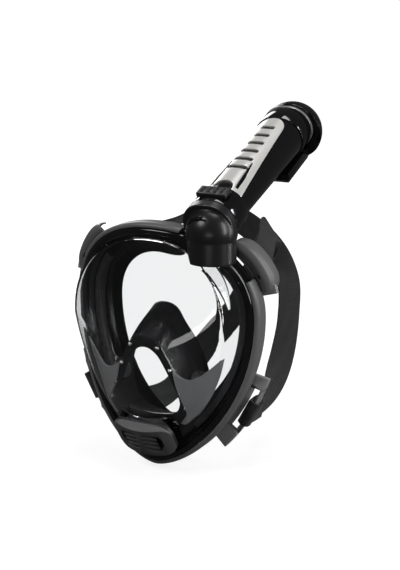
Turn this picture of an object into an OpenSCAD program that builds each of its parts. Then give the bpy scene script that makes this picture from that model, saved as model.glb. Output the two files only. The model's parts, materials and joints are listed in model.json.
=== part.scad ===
// Full face snorkel mask: clear bowed lens in an egg-shaped rim, soft face skirt with a
// nose and mouth pocket, chin vent, crossed head straps, and a dry-top tube that plugs
// into a socket at the wearer's left temple.
// Frame: +Z up as worn, the lens faces -Y, +X is the wearer's left. The origin is the
// centre of the face opening, on the plane of the face seal's rear edge.

/* [Rim] */
// Half width of the rim line at its widest level
rim_half_w = 82; // [76:0.5:92]
// Height of the rim line's top above the origin
rim_top = 94.5; // [88:0.5:106]
// Depth of the rim line's chin point below the origin
rim_chin = 105.5; // [98:0.5:118]
// Height of the widest level
rim_wide_z = 22; // [16:1:28]
// How far the rim's sides sweep back
rim_sweep = 19; // [14:1:23]
// Width of the rim shelf that the lens stands on
rim_shelf = 5.3; // [4.5:0.1:6]
// Wall of the rim outside the lens
rim_wall = 5.1; // [4:0.1:6]
// Depth of the rim behind the lens seat
rim_back = 7.7; // [6:0.1:10]
// Width of the cover band outside the rim
band_w = 4.4; // [3:0.2:6]

/* [Lens] */
// Thickness of the clear lens
lens_t = 2.2; // [1.8:0.1:3]
// Inset of the lens's front edge from the rim line at the sides
lens_inset = 11; // [8:0.5:13]
// Depth of the lens's side wall at its widest level
lens_depth = 35; // [28:0.5:38]
// Depth of the lens wall at the forehead
lens_depth_top = 10; // [8:0.5:14]
// Depth of the lens wall at the chin
lens_depth_chin = 9; // [7:0.5:12]
// Bow of the lens in front of the rim plane, on the centre line
lens_bow = 40.5; // [37:0.5:46]

/* [Face skirt] */
// Distance from the rim plane back to the rear edge of the face seal
seal_depth = 38; // [34:1:44]
// Width of the seal's inward lip at the forehead
lip_w = 27; // [20:1:30]
// Thickness of the silicone wall
skirt_t = 2.5; // [2:0.1:3.5]

/* [Snorkel] */
// Lean of the tube back from vertical, degrees
tube_lean = 68; // [64:0.5:72]
// Half width of the oval tube at the collar
tube_half_w = 19; // [18:0.5:20]
// Half depth of the oval tube at the collar
tube_r = 16.5; // [15.5:0.5:17.5]
// How much wider the tube's half width grows up to the dry top
tube_flare = 3.2; // [0:0.1:4]
// Wall of the tube
tube_wall = 1.8; // [1.4:0.1:2.4]
// Length of the tube from the collar to the dry top
tube_len = 128; // [100:1:160]
// Half width of the oval collar
collar_half_w = 23; // [22:0.5:25]
// Half depth of the oval collar
collar_r = 20.5; // [19.5:0.5:21.5]
// Length of the collar
collar_len = 22; // [20:1:28]
// Radius of the plug on the collar
plug_r = 14; // [12:0.5:15]
// Length of the plug
plug_len = 18; // [14:1:20]

/* [Straps] */
// Width of the strap webbing
strap_w = 25; // [20:1:27]
// Thickness of the strap webbing
strap_t = 2.2; // [1.5:0.1:2.6]

/* [Chin vent] */
// Width of the vent cover
vent_w = 58; // [52:1:62]
// Height of the vent cover along its face
vent_h = 32; // [30:1:34]
// Radius of the purge valve disc
purge_r = 10; // [8:0.5:11]

/* [Hidden] */

$fn = 64;
gap = 0.3;                     // clearance between neighbouring pieces
fine = 0.05;                   // radial clearance of a running fit
rim_steps = 72;                // stations round the rim
rim_y = -seal_depth;           // the rim plane, in front of the face seal
top_round = 0.909;             // roundness of the rim's upper half
chin_taper = 1.25;             // taper of the rim's lower half
dir_lean = 0.55;               // turns a section towards the rim's middle
lens_seat = 2;                 // inset of the lens's foot from the rim line
lens_foot = 2;                 // how far the lens's foot stands behind the rim plane
bow_centre_z = -12;            // level of the lens's deepest bow
bow_rate = 0.003;              // how fast the bow falls off up and down
pocket_steps = 6;              // stations between two points of the pocket's outline

// ---- shared geometry -------------------------------------------------------------

function spow(v, p) = sign(v) * pow(abs(v), p);
function unit(v) = v / norm(v);
function lerp(a, b, t) = a + (b - a) * t;

// A point of the rim line, and the outward direction of its section
function rim_x(a) = rim_half_w * spow(cos(a), sin(a) >= 0 ? top_round : chin_taper);
function rim_z(a) = rim_wide_z + (sin(a) >= 0
    ? (rim_top - rim_wide_z) * pow(sin(a), top_round)
    : (rim_chin + rim_wide_z) * sin(a));
function rim_dir(a) = unit([rim_x(a), dir_lean * rim_z(a)]);
function sweep_y(x) = rim_sweep * pow(x / rim_half_w, 2);

// The point d outside the rim line and y behind the rim plane, at angle a
function rim_pt(a, d, y) = let (n = rim_dir(a))
    [rim_x(a) + d * n[0], rim_y + sweep_y(rim_x(a)) + y, rim_z(a) + d * n[1]];

// A solid through a list of rings, each with the same number of points
module loft(rings, closed = false, fan = false) {
    m = len(rings[0]);
    k = len(rings);
    sides = [for (i = [0 : closed ? k - 1 : k - 2]) for (j = [0 : m - 1])
        let (n = (i + 1) % k, o = (j + 1) % m)
        each [[i * m + j, n * m + o, i * m + o], [i * m + j, n * m + j, n * m + o]]];
    first = [for (j = [0 : m - 1]) j];
    last = [for (j = [m - 1 : -1 : 0]) (k - 1) * m + j];
    mid = [for (ring = [rings[0], rings[k - 1]]) [for (c = [0 : 2]) middle(ring, c)]];
    caps = closed ? [] : !fan ? [first, last]
        : [for (j = [0 : m - 1]) each [[k * m, j, (j + 1) % m],
            [k * m + 1, (k - 1) * m + (j + 1) % m, (k - 1) * m + j]]];
    points = [for (ring = rings) each ring];
    polyhedron(points = fan ? concat(points, mid) : points, faces = concat(sides, caps),
        convexity = 6);
}
function middle(ring, c, i = 0) = i == len(ring) ? 0 : ring[i][c] / len(ring) + middle(ring, c, i + 1);

// A section [outwards, backwards] swept round the rim line, or along part of it
module rim_sweep_solid(section, from = 0, to = 360, steps = rim_steps) {
    closed = to - from == 360;
    loft([for (i = [0 : closed ? steps - 1 : steps]) let (a = from + (to - from) * i / steps)
        [for (p = section) rim_pt(a, p[0], p[1])]], closed);
}

// A smooth curve through points, with n steps between two of them
function through(p, q, r, s, t) = 0.5 * (2 * q + (r - p) * t
    + (2 * p - 5 * q + 4 * r - s) * t * t + (3 * q - p - 3 * r + s) * t * t * t);
function curve(pts, n, closed = false) = let (k = len(pts))
    [for (i = [0 : closed ? k - 1 : k - 2]) for (j = [0 : n - 1])
        closed ? through(pts[(i + k - 1) % k], pts[i], pts[(i + 1) % k], pts[(i + 2) % k], j / n)
               : through(pts[max(i - 1, 0)], pts[i], pts[i + 1], pts[min(i + 2, k - 1)], j / n),
        if (!closed) pts[k - 1]];
function mirrored(half) = concat(half, [for (i = [len(half) - 2 : -1 : 1])
    [-half[i][0], half[i][1], half[i][2]]]);

// Rounded plates and oval sections, from circles and squares only
module oval(half_w, r) {
    for (s = [-1, 1]) translate([s * (half_w - r), 0]) circle(r);
    square([2 * (half_w - r), 2 * r], center = true);
}
module round_rect(w, h, r) {
    square([w - 2 * r, h], center = true);
    square([w, h - 2 * r], center = true);
    for (x = [-1, 1], y = [-1, 1]) translate([x * (w / 2 - r), y * (h / 2 - r)]) circle(r);
}

// ---- lens ------------------------------------------------------------------------

function edge_depth(a) = let (s = sin(a)) s >= 0
    ? lerp(lens_depth, lens_depth_top, pow(s, 2.2))
    : lerp(lens_depth, lens_depth_chin, -s);
function edge_inset(a) = let (s = sin(a)) s >= 0
    ? lerp(lens_inset, 3.4, pow(s, 2.2)) : lens_inset - 3 * s;
function bow_y(z) = lens_bow - bow_rate * pow(z - bow_centre_z, 2);

// Wall of the lens: w runs from the rim, 0, to the front edge, 1; t is how far inside
// the outer surface
function lens_wall(a, w, t) = rim_pt(a, -lerp(lens_seat, edge_inset(a), w) - t,
    lerp(lens_foot, -edge_depth(a) + t, w));
// Front of the lens: u runs from the middle, 0, to the front edge, 1
function lens_front(a, u, t) = let (e = lens_wall(a, 1, t), z = lerp(bow_centre_z, e[2], u))
    [e[0] * u, lerp(rim_y - bow_y(z) + t, e[1], u * u), z];
function lens_rings(t) = concat(
    [for (u = [0.06, 0.25, 0.45, 0.65, 0.82, 0.95]) [for (i = [0 : rim_steps - 1])
        lens_front(i * 360 / rim_steps, u, t)]],
    [for (w = [0.88, 0.45, 0]) [for (i = [0 : rim_steps - 1])
        lens_wall(i * 360 / rim_steps, w, t)]]);

module lens() color([0.85, 0.9, 0.93, 0.4]) difference() {
    skin = lens_rings(0);
    loft(concat(lens_rings(lens_t), [for (i = [len(skin) - 1 : -1 : 0]) skin[i]]), fan = true);
    at_vent() translate([0, 0, -30]) linear_extrude(60)
        round_rect(vent_w + 2 * gap, vent_h + 2 * gap, vent_r + gap);
    air_port();
}

// The space that the lens and rim fill, grown by g, for pieces that seat on them
module mask_envelope(g) {
    skin = lens_rings(-g);
    rim = [for (p = [[rim_outer() + g, 60], [rim_outer() + g, -4 - g], [-lens_seat + g, -4 - g]])
        [for (i = [0 : rim_steps - 1]) rim_pt(i * 360 / rim_steps, p[0], p[1])]];
    loft(concat(rim, [for (i = [len(skin) - 2 : -1 : 0]) skin[i]]), fan = true);
}
function rim_outer() = rim_wall - 1.7;

// The clear channel inside the lens wall that leads fresh air from the socket to the lens
module air_channel() color([0.8, 0.85, 0.88, 0.5]) {
    span = [for (i = [0 : 8]) 46 - 4.25 * i];
    loft([for (i = [0 : 8]) let (a = span[i], k = lerp(1, 0.12, i / 8), m = 0.62, r = lens_t + gap)
        [lens_wall(a, m - 0.33 * k, r), lens_wall(a, m + 0.3 * k, r),
         lens_wall(a, m + 0.3 * k, r + lerp(1.2, 5, k)), lens_wall(a, m - 0.33 * k, r + lerp(1.2, 5, k))]],
        fan = true);
}

// ---- rim -------------------------------------------------------------------------

module rim_frame() color([0.05, 0.05, 0.055]) rim_sweep_solid([
    [-lens_seat + gap, -4], [rim_outer() - 1, -4], [rim_outer(), -2.5],
    [rim_outer(), lens_foot + rim_back + gap], [-lens_seat - rim_shelf, lens_foot + rim_back + gap],
    [-lens_seat - rim_shelf, lens_foot + gap], [-lens_seat + gap, lens_foot + gap]]);

// The band leaves out the arc where the socket stands on the rim
band_from = 76;
band_to = 385;
band_in = rim_outer() + 0.2;
band_out = band_in + band_w;
band_back = 14;
module rim_band() color([0.3, 0.3, 0.31]) rim_sweep_solid([
    [band_in, -3], [band_in + band_w * 0.65, -2.2], [band_out, 0.6], [band_out, band_back - 2],
    [band_out - 1.4, band_back], [band_in, band_back]], band_from, band_to, 64);

// Section of a duct behind the rim shelf, from the chin vent to the socket's side
module side_duct(from, to) {
    o = -lens_seat - rim_shelf - gap;
    rim_sweep_solid([[o - 6.5, 3], [o, 3], [o, 12], [o - 6.5, 12]], from, to, 30);
}
module side_duct_left() color([0.08, 0.08, 0.085]) side_duct(-54, 42);
module side_duct_right() color([0.08, 0.08, 0.085]) side_duct(138, 234);

// ---- face skirt ------------------------------------------------------------------

bead_y = lens_foot + rim_back + 2 * gap;
// The lip is narrower and shallower at the temples
function lip_pt(a, d, y) = let (side = pow(cos(a), 2),
    k = d < -8 ? lerp(1, 0.78, side) : 1, m = y > 16 ? lerp(1, 0.72, side) : 1)
    rim_pt(a, d * k, lerp(bead_y, y, m));
module skirt() color([0.06, 0.06, 0.065]) {
    w = skirt_t;
    b = seal_depth;
    outer = [[1.8, bead_y], [1.8, bead_y + 4.2], [-2, b - 14], [-6.5, b - 5], [-14, b - 0.6], [-lip_w, b - 1.6]];
    inner = [[-lip_w, b - 1.6 - w * 0.6], [-14.5, b - w - 0.8], [-8.6, b - 7], [-2 - w * 1.5, b - 14.6],
        [-1.5 - w, bead_y + 3], [-7, bead_y + 2.6], [-7, bead_y]];
    loft([for (i = [0 : rim_steps - 1]) [for (p = concat(outer, inner))
        lip_pt(i * 360 / rim_steps, p[0], p[1])]], closed = true);
}

// ---- nose and mouth pocket -------------------------------------------------------

// Half outlines from top to bottom, [across, behind the rim plane, up]
flange_line = [[0, -17, 8], [17, -16, -3], [28, -14, -24], [35, -11, -42], [36, -9, -54], [28, -8, -64], [0, -8, -68]];
bridge_line = [[0, 0, 20], [18, 2, 9], [32, 6, -14], [39, 9, -38], [36, 10, -56], [26, 11, -69], [0, 11, -74]];
face_line = [[0, 19, 30], [19, 22, 13], [33, 24, -9], [41, 25, -36], [38, 26, -56], [27, 26, -70], [0, 26, -76]];
function at_rim(line) = [for (p = line) [p[0], p[1] + rim_y, p[2]]];
function shrink(line, k, dy) = [for (p = line) [p[0] * k, p[1] + dy, lerp(-38, p[2], k)]];
function pocket_ring(line) = curve(mirrored(at_rim(line)), pocket_steps, true);

module nose_pocket() color([0.07, 0.07, 0.075]) difference() {
    loft([for (l = [shrink(flange_line, 0.80, 0), flange_line, bridge_line, face_line,
        shrink(face_line, 0.92, 0.4), shrink(bridge_line, 0.93, 0.6), shrink(flange_line, 0.92, 2.6),
        shrink(flange_line, 0.80, 2.6)])
        [for (i = [len(pocket_ring(l)) - 1 : -1 : 0]) pocket_ring(l)[i]]], closed = true);
    for (s = [-1, 1]) at_cheek(s) {
        translate([0, 0, -12]) cylinder(r = seat_r - 2 + gap, h = 24);
        translate([0, 0, 1.3]) cylinder(r = seat_r + gap, h = 12);
    }
    for (s = [-1, 1]) at_pins(s) translate([0, 0, -8]) cylinder(r = pin_r + gap / 2, h = 16);
}

// Grey wing plates clamp the pocket's flange and reach out to the lens's side wall.
// Stations from top to bottom: inner and middle point [across, back, up], and the angle
// at which the plate meets the wall
wing_stations = [
    [[26, -16.8, -19], [43, -11, -25], -12.7],
    [[29, -16, -33], [44, -10, -36], -21],
    [[34, -14.5, -46], [44, -8, -46], -29],
    [[36.5, -11.2, -55.3], [39, -7, -56], -34.5],
    [[30.6, -9.7, -64], [33, -6, -65], -41.5]];
wing_t = 1.8;
wing_reach = 0.7;
function wing_points(s) = [s[0] + [0, rim_y, 0], s[1] + [0, rim_y, 0],
    lens_wall(s[2], wing_reach, lens_t + 4 * gap)];
module wing_plate() difference() {
    loft([for (s = wing_stations) let (p = wing_points(s)) concat(
        [for (q = p) q + [0, wing_t, 0]], [for (k = [2 : -1 : 0]) p[k]])], fan = true);
    at_pins(1) {
        translate([0, 0, -8]) cylinder(r = pin_r + gap / 2, h = 16);
        translate([0, 0, pin_seat - 8]) cylinder(r = pin_head_r + gap / 2, h = 8);
    }
}
module wing_plate_left() color([0.33, 0.33, 0.34]) wing_plate();
module wing_plate_right() color([0.33, 0.33, 0.34]) mirror([1, 0, 0]) wing_plate();

// Steel pins that fasten the pocket's flange
pin_r = 1.1;
pin_head_r = 1.9;
pin_seat = 0.6;
pin_at = [[13, -19, 0], [23.5, -17, -18.5], [31.5, -14, -38], [35.6, -11.7, -51.5]];
module at_pins(s) for (p = pin_at) translate([s * p[0], p[1] + rim_y, p[2]]) rotate([-90, 0, 0]) children();
module pocket_pins() color("silver") for (s = [-1, 1]) at_pins(s) {
    cylinder(r = pin_r, h = 7);
    difference() {
        translate([0, 0, pin_seat]) sphere(r = pin_head_r, $fn = 24);
        translate([0, 0, pin_seat + 4]) cube(8, center = true);
    }
}

// Inhale valves in the pocket's cheeks: a seat with a spider, and a soft disc
seat_r = 10;
disc_t = 1;
module at_cheek(s) translate([s * 38, rim_y + 8, -34]) rotate([0, s * 90, 0]) children();
module valve_seat() difference() {
    union() {
        translate([0, 0, 1.6]) cylinder(r = seat_r, h = 2);
        translate([0, 0, -3]) cylinder(r = seat_r - 2, h = 5);
    }
    translate([0, 0, -2]) difference() {
        translate([0, 0, -2]) cylinder(r = seat_r - 4, h = 9);
        cube([2 * seat_r, 1.4, 2], center = true);
        cube([1.4, 2 * seat_r, 2], center = true);
    }
}
module valve_seat_left() color([0.1, 0.1, 0.1]) at_cheek(1) valve_seat();
module valve_seat_right() color([0.1, 0.1, 0.1]) at_cheek(-1) valve_seat();
module inhale_valve() translate([0, 0, -3 - gap - disc_t]) cylinder(r = seat_r - 2.6, h = disc_t);
module inhale_valve_left() color([0.25, 0.25, 0.26]) at_cheek(1) inhale_valve();
module inhale_valve_right() color([0.25, 0.25, 0.26]) at_cheek(-1) inhale_valve();

// ---- chin vent -------------------------------------------------------------------

// Local +Z points out of the vent, forwards and down; local +Y runs up its face
vent_r = 11;
vent_neck_w = 44;
vent_neck_h = 26;
vent_neck_r = 10;
vent_depth = 9;
vent_flange = 3;
vent_tilt = 120.7;
vent_at = [0, -18, -80];
vent_cover_t = 9;
purge_seat_z = -6;
vent_bow_r = 52;
module at_vent() translate([0, rim_y, 0]) translate(vent_at) rotate([vent_tilt, 0, 0]) children();

module vent_housing() color([0.07, 0.07, 0.075]) at_vent() difference() {
    union() {
        translate([0, 0, -vent_depth]) linear_extrude(vent_depth - gap) round_rect(vent_neck_w, vent_neck_h, vent_neck_r);
        translate([0, 0, -vent_flange]) linear_extrude(vent_flange - gap) round_rect(vent_w, vent_h, vent_r);
    }
    translate([0, 0, purge_seat_z]) cylinder(r = purge_r + 1.6, h = 20);
    difference() {
        translate([0, 0, -20]) cylinder(r = purge_r - 1.6, h = 30);
        translate([0, 0, purge_seat_z - 1]) {
            cube([2 * purge_r, 1.6, 2], center = true);
            cube([1.6, 2 * purge_r, 2], center = true);
        }
    }
}
module purge_valve() color([0.2, 0.2, 0.21]) at_vent() translate([0, 0, purge_seat_z + 0.1]) {
    cylinder(r = purge_r, h = 1.2);
    translate([0, 0, 1.2]) cylinder(r = 2, h = 0.9);
}
module vent_cover() color([0.24, 0.24, 0.25]) at_vent() difference() {
    intersection() {
        linear_extrude(vent_cover_t) round_rect(vent_w, vent_h, vent_r);
        translate([0, 0, vent_cover_t - vent_bow_r]) rotate([90, 0, 0])
            cylinder(r = vent_bow_r, h = vent_h + 2, center = true, $fn = 128);
    }
    translate([0, 0, -1]) linear_extrude(vent_cover_t - 1.6) round_rect(vent_neck_w - 4, vent_neck_h - 6, 8);
    for (s = [-1, 1], row = [0 : 3]) translate([s * 10.5, 8.4 - 5.4 * row, 0]) rotate([0, 0, -s * 8])
        cube([15, 2.4, 3 * vent_cover_t], center = true);
}

// ---- socket on the rim -----------------------------------------------------------

// Local +Z runs up the tube; local -Y is the tube's front
tube_at = [50.3, 9, 107];
module at_tube() translate([0, rim_y, 0]) translate(tube_at) rotate([-tube_lean, 0, 0]) children();
socket_depth = plug_len + 1;
knuckle_r = 21.5;
knuckle_at = [52.5, 4, 99.5];
stem_r = 20.5;
stem_foot_z = 74;
module at_knuckle() translate([knuckle_at[0], knuckle_at[1] + rim_y, 0]) children();
module air_port() translate([50, rim_y - 9, 62]) cylinder(r = 5, h = 30);

module socket_elbow() color([0.13, 0.13, 0.135]) difference() {
    union() {
        at_tube() translate([0, 0, -9]) linear_extrude(9 - gap) oval(collar_half_w, collar_r);
        at_knuckle() translate([0, 0, knuckle_at[2]]) sphere(r = knuckle_r, $fn = 96);
        at_knuckle() translate([0, 0, stem_foot_z]) cylinder(r = stem_r, h = knuckle_at[2] - stem_foot_z);
    }
    at_tube() {
        translate([0, 0, -socket_depth]) cylinder(r = plug_r + fine, h = socket_depth + 5);
        translate([0, 0, -gap]) linear_extrude(collar_len + plug_len) oval(collar_half_w + gap, collar_r + gap);
    }
    air_port();
    mask_envelope(gap);
}

// ---- strap clips and straps ------------------------------------------------------

clip_y = band_back + gap;
clip_t = 4;
// A flat clip behind the band: two rails along the rim joined at their ends
module clip(from, to, slot_from, slot_to, inner, slot_in, slot_out, outer) {
    y0 = clip_y;
    y1 = clip_y + clip_t;
    module rail(a, b, d0, d1, n) rim_sweep_solid([[d0, y0], [d1, y0], [d1, y1], [d0, y1]], a, b, n);
    rail(slot_from, slot_to, inner, slot_in, 8);
    rail(slot_from, slot_to, slot_out, outer, 8);
    rail(from, slot_from, inner, outer, 4);
    rail(slot_to, to, inner, outer, 3);
}
upper_slot = [20.5, 46];
lower_slot = [-45, -27];
upper_slot_d = [8.4, 16.4];
lower_slot_d = [10.2, 15.8];
module clip_upper() clip(13, 48, upper_slot[0], upper_slot[1], band_in, upper_slot_d[0], upper_slot_d[1], 19.6);
module clip_lower() clip(-53, -22, lower_slot[0], lower_slot[1], band_in, lower_slot_d[0], lower_slot_d[1], 20);
module clip_upper_left() color([0.42, 0.42, 0.43]) clip_upper();
module clip_upper_right() color([0.42, 0.42, 0.43]) mirror([1, 0, 0]) clip_upper();
module clip_lower_left() color([0.42, 0.42, 0.43]) clip_lower();
module clip_lower_right() color([0.42, 0.42, 0.43]) mirror([1, 0, 0]) clip_lower();

// The straps' ways round the back of the head: [across, behind the rim plane, up], and
// the direction of the webbing's width there. One runs from the lower left clip to the
// upper right clip, the other, inside it, from the lower right clip to the upper left clip
function slot_pt(a, d, y) = rim_pt(a, (d[0] + d[1]) / 2, y) - [0, rim_y, 0];
function low_slot_pt(y) = slot_pt((lower_slot[0] + lower_slot[1]) / 2, lower_slot_d, y);
function up_slot_pt(y) = slot_pt((upper_slot[0] + upper_slot[1]) / 2, upper_slot_d, y);
function flip_x(p) = [-p[0], p[1], p[2]];
strap_out = [11, 23];
low_width = [0.48, 0, 0.877];
up_width = [-0.5, 0, 0.866];
left_way = [
    [low_slot_pt(strap_out[0]), low_width],
    [low_slot_pt(strap_out[1]), low_width],
    [[70.5, 58, -68], [0.35, 0.1, 0.9]],
    [[67, 95, -60], [-0.3, 0.1, 0.85]],
    [[64, 125, -38], [-0.55, -0.6, 0.4]],
    [[62, 142, -5], [-0.45, -0.89, 0]],
    [[56, 151, 28], [-0.52, -0.82, -0.1]],
    [[32, 157, 58], [-0.5, -0.3, -0.7]],
    [[0, 158, 78], [-0.2, 0, -0.98]],
    [[-26, 151, 84], [-0.4, 0.3, -0.8]],
    [[-50, 118, 77], [-0.75, 0.35, -0.5]],
    [[-65, 80, 73], [-0.75, 0.2, -0.65]],
    [flip_x(up_slot_pt(strap_out[1])), -flip_x(up_width)],
    [flip_x(up_slot_pt(strap_out[0])), -flip_x(up_width)]];
right_way = [
    [flip_x(low_slot_pt(strap_out[0])), flip_x(low_width)],
    [flip_x(low_slot_pt(strap_out[1])), flip_x(low_width)],
    [[-68, 60, -80], [-0.45, 0, 0.89]],
    [[-62, 100, -96], [-0.3, 0, 0.95]],
    [[-54, 135, -90], [-0.2, -0.1, 0.97]],
    [[-32, 160, -50], [-0.45, 0, 0.89]],
    [[0, 158, -10], [-0.75, 0, 0.65]],
    [[26, 144, 33], [-0.85, -0.1, 0.5]],
    [[38, 137, 55], [-0.8, -0.1, 0.6]],
    [[54, 121, 76], [-0.6, -0.1, 0.8]],
    [[64, 90, 86], [-0.5, -0.1, 0.86]],
    [[76, 58, 80], [-0.45, 0, 0.89]],
    [up_slot_pt(strap_out[1]), up_width],
    [up_slot_pt(strap_out[0]), up_width]];
strap_steps = 4;
function strap_ring(c, t, w) = let (v = unit(w - (w * t) * t), n = cross(t, v))
    [for (k = [[-1, -1], [1, -1], [1, 1], [-1, 1]])
        c + v * k[0] * strap_w / 2 + n * k[1] * strap_t / 2 + [0, rim_y, 0]];
module strap(way) {
    c = curve([for (p = way) p[0]], strap_steps);
    w = curve([for (p = way) p[1]], strap_steps);
    last = len(c) - 1;
    loft([for (i = [0 : last])
        strap_ring(c[i], unit(c[min(i + 1, last)] - c[max(i - 1, 0)]), w[i])]);
}
module strap_a() color([0.12, 0.12, 0.12]) strap(right_way);
module strap_b() color([0.12, 0.12, 0.12]) strap(left_way);

// ---- snorkel ---------------------------------------------------------------------

button_w = 27;
button_h = 12;
button_at = 11;
button_t = 4;

// The collar carries the plug that seats in the socket, and the tube's foot
module collar() color([0.06, 0.06, 0.065]) at_tube() difference() {
    union() {
        linear_extrude(collar_len - 2) oval(collar_half_w, collar_r);
        translate([0, 0, collar_len - 2]) linear_extrude(2) oval(collar_half_w - 0.8, collar_r - 0.8);
        translate([0, 0, -plug_len]) cylinder(r = plug_r, h = plug_len + 1);
    }
    translate([0, 0, tube_from]) linear_extrude(20) oval(tube_half_w + 1, tube_r + 1);
    translate([0, 0, -plug_len - 1]) cylinder(r = plug_r - 2.5, h = collar_len + plug_len);
    translate([0, 0, -plug_len / 2]) rotate_extrude() translate([plug_r, 0]) circle(r = seal_r + 0.1, $fn = 32);
    translate([0, -collar_r - 4 + button_t - 0.4, button_at])
        cube([button_w + 2 * gap, 8, button_h + 2 * gap], center = true);
}
seal_r = 1.3;
module plug_seal() color([0.1, 0.1, 0.1]) at_tube() translate([0, 0, -plug_len / 2]) difference() {
    rotate_extrude() translate([plug_r, 0]) circle(r = seal_r, $fn = 32);
    difference() {
        cylinder(r = plug_r + 5, h = 8, center = true);
        cylinder(r = plug_r, h = 9, center = true);
    }
}
module latch_button() color([0.09, 0.09, 0.095]) at_tube() difference() {
    translate([0, -collar_r + button_t / 2 - 2.4, button_at]) cube([button_w, button_t, button_h], center = true);
    for (x = [-9, -3, 3, 9]) translate([x, -collar_r - 2.4, button_at])
        cube([2.6, 2.4, button_h - 5], center = true);
}

tube_from = collar_len - 9;
tube_to = tube_from + tube_len;
// Ring of an oval section at height z, for the flared tube
function oval_ring(w, r, z) = [for (q = [0 : 1], i = [0 : 16]) let (a = q * 180 - 90 + i * 180 / 16)
    [(w - r) * (q == 0 ? 1 : -1) + r * cos(a), r * sin(a), z]];
function flare(z) = tube_flare * (z - tube_from) / tube_len;
module flared_tube(t, from, to) loft([for (z = [from, to])
    oval_ring(tube_half_w + flare(z) - t, tube_r + flare(z) - t, z)]);
module tube() color([0.05, 0.05, 0.055]) at_tube() difference() {
    flared_tube(0, tube_from, tube_to);
    flared_tube(tube_wall, tube_from - 1, tube_to + 1);
}
// The wall that parts the fresh air from the breathed air
module tube_divider() color([0.15, 0.15, 0.15]) at_tube() translate([0, 4, tube_from + tube_len / 2])
    cube([2 * (tube_half_w - tube_wall) - 2.6, 1.4, tube_len - 2], center = true);

// Bright plate on the tube's front, with an arch at its foot and two long side recesses
plate_t = 1.5;
plate_half_w = 17;
plate_taper = 6;
plate_from = collar_len + 0.6;
plate_arch_r = 9;
module face_plate() color([0.9, 0.89, 0.85]) at_tube() difference() {
    flared_tube(-plate_t - 0.1, plate_from, tube_to - gap);
    flared_tube(-0.1, plate_from - 1, tube_to + 1);
    translate([0, tube_r / 2 + 20 - 10, plate_from]) cube([80, 40, 3 * tube_len], center = true);
    for (s = [0, 1]) mirror([s, 0, 0]) rotate([90, 0, 0]) linear_extrude(60)
        polygon([[plate_half_w, plate_from - 1], [40, plate_from - 1], [40, tube_to + 1],
            [plate_half_w - plate_taper, tube_to + 1]]);
    translate([0, 0, plate_from + 2]) rotate([90, 0, 0]) cylinder(r = plate_arch_r, h = 60);
    translate([0, -30, plate_from]) cube([2 * plate_arch_r, 60, 4], center = true);
    for (s = [-1, 1]) translate([s * 11.5, -tube_r - plate_t - 1.2, plate_from + 36]) rotate([0, -s * 2.5, 0])
        cube([2.6, 2.2, 52], center = true);
}

// Dry top: a base on the tube, a grey trim ring and a domed cap round the float
top_half_w = tube_half_w + tube_flare + 1.2;
top_r = tube_r + tube_flare + 1;
base_len = 20;
ring_h = 3;
base_to = tube_to + base_len;
cell_r = 14.5;
module dry_top_base() color([0.06, 0.06, 0.065]) at_tube() difference() {
    translate([0, 0, tube_to + gap]) linear_extrude(base_len - gap) oval(top_half_w, top_r);
    translate([0, 0, tube_to + 3]) cylinder(r = cell_r + gap, h = base_len);
    translate([0, 0, tube_to - 1]) cylinder(r = cell_r - 4, h = 10);
    translate([0, top_r, tube_to + 11]) cube([18, 24, 9], center = true);
}
module trim_ring() color([0.5, 0.5, 0.52]) at_tube() translate([0, 0, base_to + 0.1]) linear_extrude(ring_h)
    difference() {
        oval(top_half_w + 0.3, top_r + 0.3);
        circle(cell_r + gap);
    }
dome_from = base_to + ring_h + 0.2;
dome_R = 27.5;
dome_at = [3, 5];
module dome_ball(r) translate([dome_at[0], dome_at[1], dome_from - 1]) sphere(r = r, $fn = 128);
module dome_cap() color([0.05, 0.05, 0.055]) at_tube() difference() {
    intersection() {
        dome_ball(dome_R);
        translate([-2 * dome_R, -2 * dome_R, dome_from]) cube([4 * dome_R, 4 * dome_R, dome_R]);
    }
    translate([0, 0, dome_from - 1]) cylinder(r = cell_r + gap, h = 5);
    insert_slot(0);
}
// The slot lies on the dome's left front
insert_at = [14, -7, 22];
module insert_slot(g) translate([insert_at[0], insert_at[1], dome_from + insert_at[2]]) rotate([0, 24, 0])
    cube([3.4 - 2 * g, 14 - 2 * g, 8 - 2 * g], center = true);
module dome_insert() color([0.75, 0.75, 0.76]) at_tube() intersection() {
    insert_slot(0.1);
    dome_ball(dome_R - 0.2);
}

// Hooked inlet housing on the tube's back, below the dome, with open slots
hook_wall = 2;
hook_half_w = 16;
hook_at = base_to - 44;
hook_len = dome_from - gap - hook_at;
hook_y = top_r + 0.6;
hook_deep = 14.5;
// Side outline of the housing, drawn in by w
function hook_line(w) = [[w, w], [8 - w / 2, w], [12.5 - w, 4 + w / 2], [hook_deep - w, 14],
    [hook_deep - w, 30], [11 - w, hook_len - w], [w, hook_len - w]];
port_s = tube_to + 11 - hook_at;
module inlet_housing() color([0.06, 0.06, 0.065]) at_tube() translate([0, hook_y, hook_at]) difference() {
    intersection() {
        rotate([90, 0, 90]) translate([0, 0, -hook_half_w]) linear_extrude(2 * hook_half_w)
            polygon(hook_line(0));
        translate([0, -hook_half_w, -1]) linear_extrude(hook_len + 2)
            round_rect(2 * hook_half_w, 2 * (hook_half_w + hook_deep), 9);
    }
    rotate([90, 0, 90]) translate([0, 0, hook_wall - hook_half_w])
        linear_extrude(2 * (hook_half_w - hook_wall)) polygon(hook_line(hook_wall));
    for (i = [0 : 4]) translate([0, hook_deep, 8 + 6.5 * i])
        cube([2 * hook_half_w - 8, 10, 2.8], center = true);
    translate([0, 0, port_s]) cube([16, 10, 9], center = true);
}

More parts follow.
